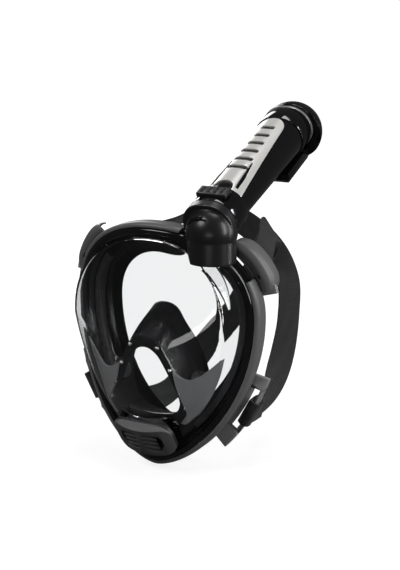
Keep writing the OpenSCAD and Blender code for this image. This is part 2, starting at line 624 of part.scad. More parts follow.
// The float and its cage: water lifts the float, which shuts the tube's end
float_r = 11;
float_h = 11;
float_travel = 6;
module float_cage() color([0.2, 0.2, 0.21]) at_tube() translate([0, 0, tube_to + 3.3]) difference() {
    cylinder(r = cell_r, h = base_len + 2);
    translate([0, 0, 2]) cylinder(r = cell_r - 1.8, h = base_len - 2);
    translate([0, 0, -1]) cylinder(r = 6, h = base_len + 8);
    for (a = [0, 90]) rotate([0, 0, a]) translate([0, 0, 9]) cube([60, 10, 10], center = true);
}
module float_valve() color([0.85, 0.85, 0.82]) at_tube() translate([0, 0, tube_to + 5.3 + gap])
    cylinder(r = float_r, h = float_h);

lens();
air_channel();
rim_frame();
rim_band();
skirt();
nose_pocket();
wing_plate_left();
wing_plate_right();
pocket_pins();
side_duct_left();
side_duct_right();
vent_housing();
vent_cover();
purge_valve();
valve_seat_left();
valve_seat_right();
inhale_valve_left();
inhale_valve_right();
socket_elbow();
clip_upper_left();
clip_upper_right();
clip_lower_left();
clip_lower_right();
strap_a();
strap_b();
collar();
plug_seal();
latch_button();
tube();
tube_divider();
face_plate();
dry_top_base();
trim_ring();
dome_cap();
dome_insert();
inlet_housing();
float_cage();
float_valve();
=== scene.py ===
"""Full face snorkel: the finished look of each piece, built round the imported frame."""
import json
import math

import bpy
from bpy.props import FloatProperty, FloatVectorProperty, PointerProperty
from mathutils import Matrix, Vector


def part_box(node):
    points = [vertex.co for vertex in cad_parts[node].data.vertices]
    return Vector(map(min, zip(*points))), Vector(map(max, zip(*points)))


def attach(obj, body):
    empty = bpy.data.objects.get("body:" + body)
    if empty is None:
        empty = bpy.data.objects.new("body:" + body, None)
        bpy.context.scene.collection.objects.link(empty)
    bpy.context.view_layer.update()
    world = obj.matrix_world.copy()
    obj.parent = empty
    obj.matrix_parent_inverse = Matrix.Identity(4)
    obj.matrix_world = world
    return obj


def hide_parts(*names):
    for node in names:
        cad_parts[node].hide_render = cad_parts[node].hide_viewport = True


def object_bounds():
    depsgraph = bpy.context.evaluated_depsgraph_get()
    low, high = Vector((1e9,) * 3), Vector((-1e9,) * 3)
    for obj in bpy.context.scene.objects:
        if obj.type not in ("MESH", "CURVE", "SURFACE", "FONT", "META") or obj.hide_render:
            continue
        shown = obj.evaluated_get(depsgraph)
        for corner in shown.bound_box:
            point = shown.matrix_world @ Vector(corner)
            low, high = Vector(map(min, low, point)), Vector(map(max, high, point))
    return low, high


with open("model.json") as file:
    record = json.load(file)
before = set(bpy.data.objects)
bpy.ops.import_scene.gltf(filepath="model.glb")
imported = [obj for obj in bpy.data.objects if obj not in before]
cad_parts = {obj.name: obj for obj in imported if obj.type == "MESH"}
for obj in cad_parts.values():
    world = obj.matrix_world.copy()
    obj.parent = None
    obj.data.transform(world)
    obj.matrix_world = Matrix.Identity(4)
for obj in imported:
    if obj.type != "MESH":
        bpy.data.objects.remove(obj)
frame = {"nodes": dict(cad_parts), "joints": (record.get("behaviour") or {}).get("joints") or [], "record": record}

bl_info = {
    "name": "Full Face Snorkel",
    "version": (1, 0, 0),
    "blender": (4, 5, 0),
    "location": "View3D > Sidebar > Snorkel",
    "description": "Models and finishes a full face snorkel mask round its frame",
    "category": "Mesh",
}

MM = 0.001
CAD_BOX = [list(corner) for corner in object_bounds()]

# ---- places taken from the frame ---------------------------------------------------

RIM_OUT = 3.4 * MM          # how far the rim frame stands outside the rim line
RIM_OUT_SIDE = 3.36 * MM    # the part of it that is straight sideways at the widest point
RIM_LOW, RIM_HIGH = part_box("rim_frame")
RIM_FRONT = 4 * MM          # how far the rim frame stands before the rim plane
RIM_Y = RIM_LOW[1] + RIM_FRONT
RIM_WIDE = 22 * MM          # level of the rim's widest point
RIM_SWEEP = 19 * MM         # how far the rim's sides sweep back
TOP_ROUND = 0.909           # power of the upper half's outline
CHIN_TAPER = 1.25           # power of the lower half's width
DIR_LEAN = 0.55             # how much of the height counts in the outward direction


def joint_axis(name):
    """Axis of a joint of the frame."""
    return Vector(next(j["axis"] for j in frame["joints"] if j["name"] == name))


def middle(node):
    """Centre of a node's box."""
    low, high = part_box(node)
    return (Vector(low) + Vector(high)) / 2


TUBE_AXIS = joint_axis("snorkel_release")
SEAL_BACK = 9 * MM          # the seal ring lies this far down the plug
TUBE_FOOT = middle("plug_seal") + TUBE_AXIS * SEAL_BACK
TUBE_LEAN = math.atan2(TUBE_AXIS.y, TUBE_AXIS.z)
AT_TUBE = Matrix.Translation(TUBE_FOOT) @ Matrix.Rotation(-TUBE_LEAN, 4, "X")
TUBE_FROM = 13 * MM
TUBE_TO = 141 * MM


class SnorkelSizes(bpy.types.PropertyGroup):
    """Sizes of the pieces that are modelled here."""
    rim_half_w: FloatProperty(name="Rim half width", description="Half width of the rim line",
                              default=RIM_HIGH[0] - RIM_OUT_SIDE, unit="LENGTH")
    rim_top: FloatProperty(name="Rim top", description="Height of the rim line's top",
                           default=RIM_HIGH[2] - RIM_OUT, unit="LENGTH")
    rim_chin: FloatProperty(name="Rim chin", description="Depth of the rim line's chin point",
                            default=-RIM_LOW[2] - RIM_OUT, unit="LENGTH")
    lens_t: FloatProperty(name="Lens thickness", description="Thickness of the clear lens",
                          default=2.2 * MM, unit="LENGTH")
    strap_w: FloatProperty(name="Webbing width", description="Width of the strap webbing",
                           default=25 * MM, unit="LENGTH")
    strap_t: FloatProperty(name="Webbing thickness", description="Thickness of the strap webbing",
                           default=2 * MM, unit="LENGTH")
    weave: FloatProperty(name="Weave pitch", description="Spacing of the webbing's ribs",
                         default=1.5 * MM, unit="LENGTH")
    plate_t: FloatProperty(name="Plate thickness", description="Thickness of the bright plate",
                           default=1.5 * MM, unit="LENGTH")


def colour(name, text, value):
    """A colour property."""
    return FloatVectorProperty(name=name, description=text, default=value, subtype="COLOR",
                               size=3, min=0, max=1)


class SnorkelColours(bpy.types.PropertyGroup):
    """Colours of the finishes."""
    lens: colour("Lens", "Tint of the clear lens", (0.93, 0.94, 0.945))
    gloss_black: colour("Gloss black", "Rim frame and breathing tube", (0.006, 0.006, 0.007))
    band_grey: colour("Band grey", "Cover band round the rim", (0.16, 0.16, 0.163))
    silicone: colour("Silicone", "Face skirt and nose pocket", (0.008, 0.008, 0.009))
    plate_grey: colour("Wing grey", "Plates beside the nose pocket", (0.14, 0.14, 0.143))
    clip_grey: colour("Clip grey", "Strap clips", (0.36, 0.36, 0.365))
    vent_grey: colour("Vent grey", "Vent cover", (0.12, 0.12, 0.122))
    elbow: colour("Elbow charcoal", "Socket elbow", (0.016, 0.016, 0.018))
    strap: colour("Strap black", "Webbing", (0.012, 0.012, 0.013))
    silver: colour("Plate silver", "Bright plate on the tube", (0.8, 0.79, 0.76))
    trim: colour("Trim grey", "Ring and insert of the dry top", (0.36, 0.36, 0.37))


def sizes():
    return bpy.context.scene.snorkel_sizes


def colours():
    return bpy.context.scene.snorkel_colours


# ---- the rim line -------------------------------------------------------------------

def power(v, p):
    return math.copysign(abs(v) ** p, v)


def lerp(a, b, t):
    return a + (b - a) * t


def rim_x(a):
    return sizes().rim_half_w * power(math.cos(a), TOP_ROUND if math.sin(a) >= 0 else CHIN_TAPER)


def rim_z(a):
    s = math.sin(a)
    if s >= 0:
        return RIM_WIDE + (sizes().rim_top - RIM_WIDE) * s ** TOP_ROUND
    return RIM_WIDE + (sizes().rim_chin + RIM_WIDE) * s


def rim_dir(a):
    return Vector((rim_x(a), 0, DIR_LEAN * rim_z(a))).normalized()


def rim_pt(a, d, y):
    """Point d outside the rim line and y behind the rim plane, at angle a."""
    x = rim_x(a)
    sweep = RIM_SWEEP * (x / sizes().rim_half_w) ** 2
    return Vector((x, RIM_Y + sweep + y, rim_z(a))) + rim_dir(a) * d


# ---- curves and outlines --------------------------------------------------------------

def catmull(p, q, r, s, t):
    return 0.5 * (2 * q + (r - p) * t + (2 * p - 5 * q + 4 * r - s) * t * t
                  + (3 * q - p - 3 * r + s) * t ** 3)


def share(v, start, length):
    """How far v is from start to start + length, held between 0 and 1."""
    return min(max((v - start) / length, 0), 1)


def curve(points, n, closed=False):
    """A smooth curve through points, with n steps between two of them."""
    points = [Vector(p) for p in points]
    k = len(points)
    out = []
    for i in range(k if closed else k - 1):
        if closed:
            near = [points[(i + o) % k] for o in (-1, 0, 1, 2)]
        else:
            near = [points[min(max(i + o, 0), k - 1)] for o in (-1, 0, 1, 2)]
        out += [catmull(*near, j / n) for j in range(n)]
    return out if closed else out + [points[-1]]


def rounded(outline, r, n=3):
    """A closed outline with each corner rounded by about r."""
    out = []
    k = len(outline)
    for i, p in enumerate(outline):
        p = Vector(p)
        before = Vector(outline[i - 1]) - p
        after = Vector(outline[(i + 1) % k]) - p
        start = p + before.normalized() * min(r, before.length * 0.45)
        end = p + after.normalized() * min(r, after.length * 0.45)
        for j in range(n + 1):
            t = j / n
            out.append(start * (1 - t) ** 2 + p * 2 * t * (1 - t) + end * t * t)
    return out


def profile(corners, r):
    """A closed section in metres from its corners [outwards, backwards] in mm, rounded by r."""
    return [(p.x, p.y) for p in rounded(mm([(d, y, 0) for d, y in corners]), r)]


# ---- modelling ------------------------------------------------------------------------

def activate(obj):
    """Makes obj the one selected and active object, in object mode."""
    bpy.ops.object.select_all(action="DESELECT")
    obj.select_set(True)
    bpy.context.view_layer.objects.active = obj


def edit_all(obj, *steps):
    """Runs edit-mode operators on all of obj."""
    activate(obj)
    bpy.ops.object.mode_set(mode="EDIT")
    bpy.ops.mesh.select_all(action="SELECT")
    for step in steps:
        step()
    bpy.ops.object.mode_set(mode="OBJECT")


def merge():
    bpy.ops.mesh.remove_doubles(threshold=0.00002)


def outside():
    bpy.ops.mesh.normals_make_consistent(inside=False)


def close_holes():
    bpy.ops.mesh.fill_holes(sides=0)


def join_flat():
    """Joins faces that lie in one plane."""
    bpy.ops.mesh.dissolve_limited(angle_limit=math.radians(1.5))


def laid_grid(name, columns, rows, place):
    """A grid whose vertex at (u, v), each from 0 to 1, goes to place(u, v)."""
    bpy.ops.object.select_all(action="DESELECT")
    bpy.ops.mesh.primitive_grid_add(x_subdivisions=columns, y_subdivisions=rows, size=1)
    obj = bpy.context.object
    obj.name = name
    obj.data.name = name
    for v in obj.data.vertices:
        v.co = place(v.co.x + 0.5, v.co.y + 0.5)
    return obj


def modify(obj, kind, **values):
    """Adds a modifier and applies it."""
    activate(obj)
    mod = obj.modifiers.new(kind.lower(), kind)
    for key, value in values.items():
        setattr(mod, key, value)
    bpy.ops.object.modifier_apply(modifier=mod.name)


def bevel(obj, width, segments=2, angle=40):
    modify(obj, "BEVEL", width=width, segments=segments, limit_method="ANGLE",
           angle_limit=math.radians(angle), harden_normals=False)


def smooth(obj, angle=35):
    activate(obj)
    bpy.ops.object.shade_smooth_by_angle(angle=math.radians(angle))


def carve(obj, cutter):
    """Cuts the cutter's shape out of obj."""
    modify(obj, "BOOLEAN", operation="DIFFERENCE", solver="EXACT", object=cutter)
    bpy.data.objects.remove(cutter)


def finish_piece(obj, mat, body, slot, *nodes, angle=35):
    """Smooths a piece, gives it its material and body, and hides the CAD nodes that it stands for; slot is not
    used.
    """
    smooth(obj, angle)
    obj.data.materials.clear()
    obj.data.materials.append(mat)
    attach(obj, body)
    if nodes:
        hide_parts(*nodes)
    return obj


def swept(name, section, a0=0.0, a1=math.tau, steps=160, bend=None):
    """A closed section [outwards, backwards] swept round the rim line."""
    count = len(section)
    bend = bend or rim_pt

    def place(u, v):
        d, y = section[round(v * count) % count]
        return bend(lerp(a0, a1, u), d, y)

    obj = laid_grid(name, steps, count, place)
    whole = math.isclose(a1 - a0, math.tau)
    edit_all(obj, merge, *([] if whole else [close_holes]), outside)
    return obj


def node_copy(node_name, name):
    """A new object with a copy of a CAD node's mesh."""
    obj = bpy.data.objects.new(name, frame["nodes"][node_name].data.copy())
    bpy.context.scene.collection.objects.link(obj)
    return obj


def bevelled_copy(node_name, name, width, angle=35, segments=2):
    """A merged copy of a CAD node with its sharp edges rounded."""
    obj = node_copy(node_name, name)
    edit_all(obj, merge, join_flat)
    bevel(obj, width, segments, angle)
    return obj


def blended_copy(node_name, name, voxel, rounds):
    """A copy of a CAD node with its pieces blended into one soft shape."""
    obj = node_copy(node_name, name)
    edit_all(obj, merge)
    modify(obj, "REMESH", mode="VOXEL", voxel_size=voxel)
    modify(obj, "SMOOTH", factor=0.5, iterations=rounds)
    return obj


def mm(points):
    return [Vector(p) * MM for p in points]


# ---- finishes -------------------------------------------------------------------------

def shader(name, base, rough, **sockets):
    """A material whose principled shader holds plain values on its own sockets."""
    mat = bpy.data.materials.new(name)
    mat.use_nodes = True
    bsdf = mat.node_tree.nodes["Principled BSDF"]
    bsdf.inputs["Base Color"].default_value = (*base, 1)
    bsdf.inputs["Roughness"].default_value = rough
    for key, value in sockets.items():
        bsdf.inputs[key.replace("_", " ")].default_value = value
    return mat


def node(mat, kind, links=None, **values):
    """Adds a node, sets its values and links sockets (from node, output) to its inputs."""
    new = mat.node_tree.nodes.new(kind)
    for key, value in values.items():
        if hasattr(new, key):
            setattr(new, key, value)
        else:
            new.inputs[key.replace("_", " ")].default_value = value
    for socket, (source, output) in (links or {}).items():
        mat.node_tree.links.new(source.outputs[output], new.inputs[socket])
    return new


def math_node(tree, operation, *sources):
    """Adds a math node whose inputs are linked from (node, output) pairs."""
    new = tree.nodes.new("ShaderNodeMath")
    new.operation = operation
    for socket, (source, output) in zip(new.inputs, sources):
        tree.links.new(source.outputs[output], socket)
    return new


def link(mat, source, output, socket):
    """Links an output to a socket of the principled shader."""
    bsdf = mat.node_tree.nodes["Principled BSDF"]
    mat.node_tree.links.new(source.outputs[output], bsdf.inputs[socket])


def moulded(name, base, rough, spread=0.05, grain=1800, depth=0.05, tone=0.12, **sockets):
    """Moulded plastic or silicone: mottled tone and gloss, with a fine surface grain."""
    mat = shader(name, base, rough, **sockets)
    place = node(mat, "ShaderNodeTexCoord")
    broad = node(mat, "ShaderNodeTexNoise", {"Vector": (place, "Object")}, Scale=38.0, Detail=4.0)
    gloss = node(mat, "ShaderNodeMapRange", {"Value": (broad, "Fac")},
                 To_Min=max(rough - spread, 0.02), To_Max=rough + spread)
    link(mat, gloss, "Result", "Roughness")
    ramp = node(mat, "ShaderNodeValToRGB", {"Fac": (broad, "Fac")})
    ramp.color_ramp.elements[0].color = (*[c * (1 - tone) for c in base], 1)
    ramp.color_ramp.elements[1].color = (*[min(c * (1 + tone), 1) for c in base], 1)
    link(mat, ramp, "Color", "Base Color")
    fine = node(mat, "ShaderNodeTexNoise", {"Vector": (place, "Object")},
                Scale=float(grain), Detail=3.0)
    bump = node(mat, "ShaderNodeBump", {"Height": (fine, "Fac")}, Strength=depth, Distance=0.00005)
    link(mat, bump, "Normal", "Normal")
    return mat


def webbing(name, base, length, perimeter, pitch):
    """Elastic webbing: ribs across the length and a twill between them, on the UV map."""
    mat = shader(name, base, 0.8, Sheen_Weight=0.25, Sheen_Roughness=0.5)
    uv = node(mat, "ShaderNodeUVMap")
    scale = node(mat, "ShaderNodeMapping", {"Vector": (uv, "UV")})
    scale.inputs["Scale"].default_value = (length / pitch, perimeter / pitch, 1)
    ribs = node(mat, "ShaderNodeTexWave", {"Vector": (scale, "Vector")},
                wave_type="BANDS", bands_direction="X", Scale=0.32, Distortion=0.4, Detail=1.0)
    twill = node(mat, "ShaderNodeTexWave", {"Vector": (scale, "Vector")},
                 wave_type="BANDS", bands_direction="DIAGONAL", Scale=0.62, Distortion=0.6)
    weave = math_node(mat.node_tree, "MULTIPLY", (ribs, "Fac"), (twill, "Fac"))
    ramp = node(mat, "ShaderNodeValToRGB", {"Fac": (weave, "Value")})
    ramp.color_ramp.elements[0].color = (*[c * 0.5 for c in base], 1)
    ramp.color_ramp.elements[1].color = (*[c * 2.2 for c in base], 1)
    link(mat, ramp, "Color", "Base Color")
    bump = node(mat, "ShaderNodeBump", {"Height": (weave, "Value")}, Strength=0.6, Distance=0.0004)
    link(mat, bump, "Normal", "Normal")
    return mat


def make_finishes():
    """All finishes but the webbing, by slot name."""
    c = colours()
    lens = shader("clear_lens", c.lens, 0.0, IOR=1.46, Transmission_Weight=1.0)
    place = node(lens, "ShaderNodeTexCoord")
    film = node(lens, "ShaderNodeTexNoise", {"Vector": (place, "Object")}, Scale=14.0, Detail=5.0)
    haze = node(lens, "ShaderNodeMapRange", {"Value": (film, "Fac")},
                From_Min=0.5, From_Max=0.8, To_Min=0.0, To_Max=0.035)
    link(lens, haze, "Result", "Roughness")
    return {
        "clear_lens": lens,
        "gloss_black": moulded("gloss_black", c.gloss_black, 0.1, 0.03, depth=0.01,
                               Coat_Weight=0.6, Coat_Roughness=0.06),
        "band_grey": moulded("band_grey", c.band_grey, 0.36, 0.05, grain=2400, depth=0.05),
        "silicone_black": moulded("silicone_black", c.silicone, 0.2, 0.05, grain=1500, depth=0.02),
        "plate_grey": moulded("plate_grey", c.plate_grey, 0.36, 0.06),
        "pin_steel": moulded("pin_steel", (0.78, 0.78, 0.79), 0.18, 0.05, Metallic=1.0),
        "duct_black": moulded("duct_black", c.elbow, 0.4),
        "vent_grey": moulded("vent_grey", c.vent_grey, 0.55, 0.06, grain=2600, depth=0.16),
        "valve_grey": moulded("valve_grey", (0.06, 0.06, 0.062), 0.4),
        "elbow_charcoal": moulded("elbow_charcoal", c.elbow, 0.3, 0.05, grain=2400, depth=0.05),
        "clip_grey": moulded("clip_grey", c.clip_grey, 0.4, 0.05, grain=2200, depth=0.08),
        "plate_silver": moulded("plate_silver", c.silver, 0.3, 0.05, grain=4200, depth=0.03, tone=0.03,
                                Metallic=0.25),
        "trim_grey": moulded("trim_grey", c.trim, 0.3, 0.05, grain=4200, depth=0.03, Metallic=0.4),
        "float_white": moulded("float_white", (0.75, 0.75, 0.72), 0.5),
    }


FINISH = {}


class Piece:
    """What every operator here shares."""
    bl_options = {"REGISTER", "UNDO"}

    def execute(self, context):
        self.make()
        return {"FINISHED"}


# ---- lens and rim ---------------------------------------------------------------------

LENS_SEAT = 2 * MM
LENS_FOOT = 2 * MM
LENS_INSET = 11 * MM
LENS_INSET_TOP = 3.4 * MM
LENS_INSET_CHIN = 3 * MM    # how much more it is at the chin
LENS_DEPTH = 35 * MM
LENS_DEPTH_TOP = 10 * MM
LENS_DEPTH_CHIN = 9 * MM
TOP_FALL = 2.2              # power by which depth and inset change towards the top
LENS_BOW = 40.5 * MM
BOW_RATE = 3.0              # per metre
BOW_CENTRE = -12 * MM
FRONT_END = 0.955           # share of the front before the rounded edge
WALL_END = 0.92             # share of the side wall behind it
FRONT_ROWS = 0.62           # share of the grid's rows that the front takes
WALL_ROWS = 0.72            # share of the rows at which the side wall starts
ROW_SPREAD = 0.8            # below 1 lays the rows closer near the edge
VENT_HOLE = (58.6 * MM, 32.6 * MM, 11.3 * MM)   # width, height and corner radius
VENT_CUT = 60 * MM


def edge_depth(a):
    """How far the lens's front edge stands before the rim plane."""
    s = math.sin(a)
    if s >= 0:
        return lerp(LENS_DEPTH, LENS_DEPTH_TOP, s ** TOP_FALL)
    return lerp(LENS_DEPTH, LENS_DEPTH_CHIN, -s)


def edge_inset(a):
    """How far the lens's front edge lies inside the rim line."""
    s = math.sin(a)
    if s >= 0:
        return lerp(LENS_INSET, LENS_INSET_TOP, s ** TOP_FALL)
    return LENS_INSET - LENS_INSET_CHIN * s


def lens_wall(a, w, t=0.0):
    """Side wall of the lens, t inside its outer face: w is 0 at the rim and 1 at the front edge."""
    return rim_pt(a, -lerp(LENS_SEAT, edge_inset(a), w) - t, lerp(LENS_FOOT, t - edge_depth(a), w))


def lens_front(a, u):
    """Front of the lens: u is 0 in the middle and 1 at the front edge."""
    e = lens_wall(a, 1)
    z = lerp(BOW_CENTRE, e.z, u)
    bow = LENS_BOW - BOW_RATE * (z - BOW_CENTRE) ** 2
    return Vector((e.x * u, lerp(RIM_Y - bow, e.y, u * u), z))


def lens_point(a, p):
    """Outer surface of the lens, from the middle, 0, over the rounded edge to the foot, 1."""
    if p < FRONT_ROWS:
        return lens_front(a, FRONT_END * (p / FRONT_ROWS) ** ROW_SPREAD)
    if p > WALL_ROWS:
        return lens_wall(a, WALL_END * (1 - (p - WALL_ROWS) / (1 - WALL_ROWS)))
    k = (p - FRONT_ROWS) / (WALL_ROWS - FRONT_ROWS)
    return (lens_front(a, FRONT_END) * (1 - k) ** 2 + lens_wall(a, 1) * 2 * k * (1 - k)
            + lens_wall(a, WALL_END) * k * k)


def prism(name, outline, depth, place):
    """A straight prism from an outline [x, y], centred on its plane, moved by place."""
    bpy.ops.object.select_all(action="DESELECT")
    bpy.ops.mesh.primitive_circle_add(vertices=len(outline), radius=1, fill_type="NGON")
    obj = bpy.context.object
    obj.name = name
    for v, p in zip(obj.data.vertices, outline):
        v.co = (p[0], p[1], -depth / 2)
    step = {"value": (0, 0, depth)}
    edit_all(obj, lambda: bpy.ops.mesh.extrude_region_move(TRANSFORM_OT_translate=step))
    edit_all(obj, outside)
    obj.data.transform(place)
    return obj


def round_rect(w, h, r, n=6):
    """Outline of a rectangle with round corners."""
    x, y = w / 2 - r, h / 2 - r
    turns = [(cx, cy, math.radians(90 * (i + j / n)))
             for i, (cx, cy) in enumerate([(x, y), (-x, y), (-x, -y), (x, -y)]) for j in range(n + 1)]
    return [(cx + r * math.cos(t), cy + r * math.sin(t)) for cx, cy, t in turns]


VENT_AXIS = joint_axis("purge_lift")
VENT_TILT = math.pi - math.atan2(-VENT_AXIS.y, -VENT_AXIS.z)
VENT_AT = Matrix.Translation(middle("purge_valve")) @ Matrix.Rotation(VENT_TILT, 4, "X")


class SNORKEL_OT_lens(Piece, bpy.types.Operator):
    """Clear bowed lens in one piece with its side wall, open at the chin for the vent"""
    bl_idname = "snorkel.lens"
    bl_label = "Lens"

    def make(self):
        obj = laid_grid("lens_shell", 180, 56, lambda u, v: lens_point(u * math.tau, v))
        edit_all(obj, merge, outside)
        modify(obj, "SOLIDIFY", thickness=sizes().lens_t, offset=-1)
        carve(obj, prism("vent_hole", round_rect(*VENT_HOLE), VENT_CUT, VENT_AT))
        finish_piece(obj, FINISH["clear_lens"], "mask", "clear_lens", "lens", angle=40)
        obj.visible_shadow = False      # clear, so the light reaches what is behind it


FRAME_CORNERS = ((-1.7, -4), (2.2, -4), (3.4, -2.2), (3.4, 10), (-7.3, 10), (-7.3, 2.3), (-1.7, 2.3))
BAND_CORNERS = ((3.6, -3), (6.4, -2.4), (8, 0.4), (8, 12), (6.6, 14), (3.6, 14))
BAND_SPAN = (math.radians(76), math.radians(385))


class SNORKEL_OT_rim(Piece, bpy.types.Operator):
    """Gloss frame that holds the lens, and the satin cover band round it"""
    bl_idname = "snorkel.rim"
    bl_label = "Rim"

    def make(self):
        shell = swept("rim_shell", profile(FRAME_CORNERS, 0.9 * MM))
        finish_piece(shell, FINISH["gloss_black"], "mask", "gloss_black", "rim_frame")
        band = swept("rim_cover_band", profile(BAND_CORNERS, 1.1 * MM), *BAND_SPAN, 150)
        finish_piece(band, FINISH["band_grey"], "mask", "band_grey", "rim_band")


DUCT_CORNERS = ((-14.1, 3), (-7.6, 3), (-7.6, 12), (-14.1, 12))
DUCT_SPANS = (("left", -54, 42), ("right", 138, 234))      # in degrees round the rim


class SNORKEL_OT_ducts(Piece, bpy.types.Operator):
    """Side ducts that lead the breathed air from the chin up behind the rim"""
    bl_idname = "snorkel.ducts"
    bl_label = "Side ducts"

    def make(self):
        section = profile(DUCT_CORNERS, 1.6 * MM)
        for side, a0, a1 in DUCT_SPANS:
            duct = swept("air_duct_" + side, section, math.radians(a0), math.radians(a1), 60)
            finish_piece(duct, FINISH["duct_black"], "mask", "duct_black", "side_duct_" + side)


# ---- face skirt and nose pocket ---------------------------------------------------------

BEAD_Y = 10.3 * MM
LIP_WIDTH = 0.78            # share of the lip's width that is left at the temples
LIP_DEPTH = 0.72            # share of its depth that is left there
NARROWS = (6 * MM, 3 * MM)  # where inside the rim line it gets narrower, and over what length
SHALLOWS = (14 * MM, 4 * MM)    # where behind the rim plane it gets shallower, and over what length
SKIRT_OUTER = ((1.8, 10.3), (1.8, 14.5), (-0.2, 19.5), (-2, 24), (-6.5, 33), (-14, 37.2),
               (-21, 37.6), (-27, 36.4))
SKIRT_INNER = ((-27, 34.9), (-21, 35.3), (-14.5, 34.5), (-8.6, 31), (-5.75, 23.4),
               (-4.6, 18), (-4, 13.3), (-7, 12.9), (-7, 10.3))


def lip_pt(a, d, y):
    """Point of the skirt: the lip is narrower and shallower at the temples."""
    side = math.cos(a) ** 2
    k = lerp(1, LIP_WIDTH, side * share(-d, *NARROWS))
    m = lerp(1, LIP_DEPTH, side * share(y, *SHALLOWS))
    return rim_pt(a, d * k, lerp(BEAD_Y, y, m))


class SNORKEL_OT_skirt(Piece, bpy.types.Operator):
    """Soft silicone skirt with its folded sealing lip"""
    bl_idname = "snorkel.skirt"
    bl_label = "Face skirt"

    def make(self):
        section = profile(SKIRT_OUTER + SKIRT_INNER, 1.6 * MM)
        obj = swept("face_skirt", section, steps=180, bend=lip_pt)
        finish_piece(obj, FINISH["silicone_black"], "mask", "silicone_black", "skirt", angle=60)


# Half outlines of the pocket from top to bottom: [across, behind the rim plane, up]
FLANGE_LINE = [(0, -17, 8), (8.5, -17, 5.6), (17, -16, -3), (28, -14, -24),
               (35, -11, -42), (36, -9, -54), (28, -8, -64), (0, -8, -68)]
BRIDGE_LINE = [(0, 0, 20), (10, 0.6, 17.4), (18, 2, 9), (32, 6, -14),
               (39, 9, -38), (36, 10, -56), (26, 11, -69), (0, 11, -74)]
FACE_LINE = [(0, 19, 30), (11, 20, 26.4), (19, 22, 13), (33, 24, -9),
             (41, 25, -36), (38, 26, -56), (27, 26, -70), (0, 26, -76)]
POCKET_MIDDLE = -38         # level in mm that the rings shrink towards
POCKET_STEPS = 6            # rows between two rings
FLANGE_T = 2.6              # thickness of the flange in mm
WINDOW_SHARE = 0.8          # size of the front window, as a share of the flange's
SEAT_BORE = (20.6 * MM, 20.6 * MM, 10.29 * MM)  # width, height and corner radius: nearly round
SEAT_CUT = 14 * MM


def pocket_ring(line, k=1.0, dy=0.0, n=14):
    """A closed smooth ring through a half outline and its mirror image, in metres."""
    half = [Vector((p[0] * k, p[1] + dy, lerp(POCKET_MIDDLE, p[2], k))) for p in line]
    ring = half + [Vector((-p.x, p.y, p.z)) for p in half[-2:0:-1]]
    return [p * MM + Vector((0, RIM_Y, 0)) for p in curve(ring, n, True)]


class SNORKEL_OT_pocket(Piece, bpy.types.Operator):
    """Silicone pocket over nose and mouth, with a clamped flange round its front window"""
    bl_idname = "snorkel.pocket"
    bl_label = "Nose pocket"

    def make(self):
        outer = [pocket_ring(line) for line in (FLANGE_LINE, BRIDGE_LINE, FACE_LINE)]
        inner = [pocket_ring(FACE_LINE, 0.92, 0.4), pocket_ring(BRIDGE_LINE, 0.93, 0.6),
                 pocket_ring(FLANGE_LINE, 0.92, FLANGE_T)]
        window = [pocket_ring(FLANGE_LINE, WINDOW_SHARE),
                  pocket_ring(FLANGE_LINE, WINDOW_SHARE, FLANGE_T)]
        rows = [[window[0][i]] + curve([ring[i] for ring in outer], POCKET_STEPS)
                + curve([ring[i] for ring in inner], POCKET_STEPS) + [window[1][i]]
                for i in range(len(outer[0]))]
        around = len(rows)
        along = len(rows[0])
        obj = laid_grid("nose_mouth_pocket", around, along,
                        lambda u, v: rows[round(u * around) % around][round(v * along) % along])
        edit_all(obj, merge, outside)
        sideways = Matrix.Rotation(math.pi / 2, 4, "Y")
        for node_name in ("valve_seat_left", "valve_seat_right"):
            at_seat = Matrix.Translation(middle(node_name)) @ sideways
            carve(obj, prism("bore", round_rect(*SEAT_BORE), SEAT_CUT, at_seat))
        bevel(obj, 0.5 * MM, 2, 45)
        finish_piece(obj, FINISH["silicone_black"], "mask", "silicone_black", "nose_pocket", angle=50)


# Lines across a wing plate: [inner edge, middle, angle of the outer edge round the lens]
WINGS = [[(26, -16.8, -19), (43, -12, -25), -12.7], [(29, -16, -33), (44, -11, -36), -21],
         [(34, -14.5, -46), (44, -9.5, -46), -29], [(37, -12.2, -56), (40, -8.6, -57), -36.6],
         [(31, -11, -66), (34, -7.6, -67), -43.6]]
WING_REACH = 0.78           # how far along the lens's side wall the outer edge lies
WING_GAP = 1.4 * MM         # from the lens's inner face to the plate's middle
WING_BACK = 0.9 * MM
WING_T = 1.6 * MM
WING_STEPS = 6


class SNORKEL_OT_wings(Piece, bpy.types.Operator):
    """Grey plates that clamp the pocket's flange to the lens at each side"""
    bl_idname = "snorkel.wings"
    bl_label = "Wing plates"

    def make(self):
        shift = Vector((0, RIM_Y, 0))
        for side in (1, -1):
            rows = []
            for inner, mid, a in WINGS:
                wall = lens_wall(math.radians(a), WING_REACH, sizes().lens_t + WING_GAP)
                across = [Vector(inner) * MM + shift, Vector(mid) * MM + shift, wall]
                rows.append(curve(across, WING_STEPS))
            columns = [curve([row[j] for row in rows], WING_STEPS) for j in range(len(rows[0]))]
            nu, nv = len(columns) - 1, len(columns[0]) - 1

            def place(u, v):
                p = columns[round(u * nu)][round(v * nv)].copy()
                p.x *= side
                p.y += WING_BACK
                return p

            name = "left" if side > 0 else "right"
            obj = laid_grid("wing_cover_" + name, nu, nv, place)
            modify(obj, "SOLIDIFY", thickness=WING_T, offset=0)
            edit_all(obj, outside)
            bevel(obj, 0.5 * MM, 2)
            finish_piece(obj, FINISH["plate_grey"], "mask", "plate_grey", "wing_plate_" + name)


# ---- straps and clips -------------------------------------------------------------------

